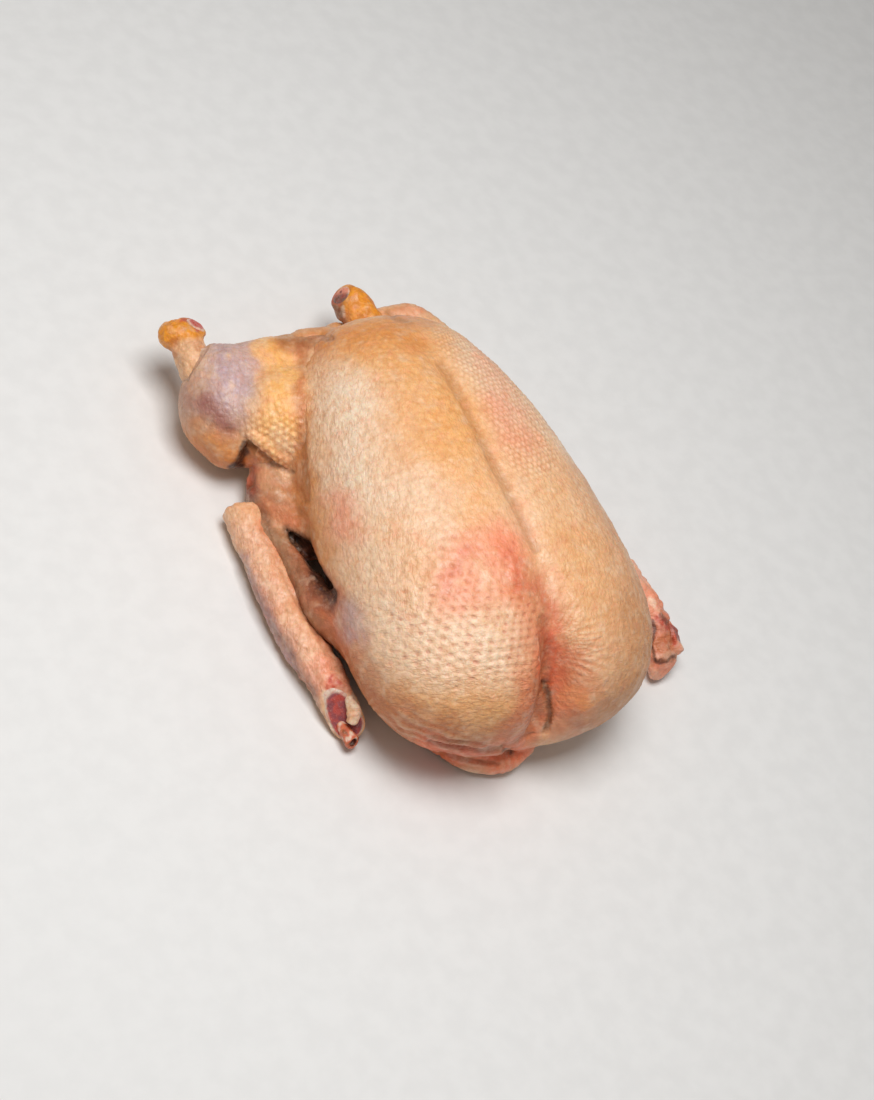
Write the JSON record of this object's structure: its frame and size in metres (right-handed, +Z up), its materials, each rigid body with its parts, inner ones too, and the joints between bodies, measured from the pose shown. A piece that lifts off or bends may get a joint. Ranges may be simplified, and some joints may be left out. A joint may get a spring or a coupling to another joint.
{
  "type": "whole raw goose",
  "caption": "Whole dressed raw goose lying on its back, breast up, with folded wings, drumsticks cut at the hock, a tail and a folded neck skin.",
  "frame": {"origin": "on the flat of the back, straight below the keel, at mid length of the trunk", "axes": "+Z up through the breast, +Y towards the tail, +X towards the bird's right side"},
  "size_m": [0.3306, 0.3893, 0.1404],
  "materials": {
    "skin": "moist, pimpled raw poultry skin, peach cream with yellow fat and pink patches",
    "hock_skin": "scaly orange-yellow skin of the hock joint",
    "cut_flesh": "wet cut flesh, dark pink to purple, with pale gristle and bone"
  },
  "bodies": {
    "root": {"goose": "skin"}
  },
  "joints": []
}
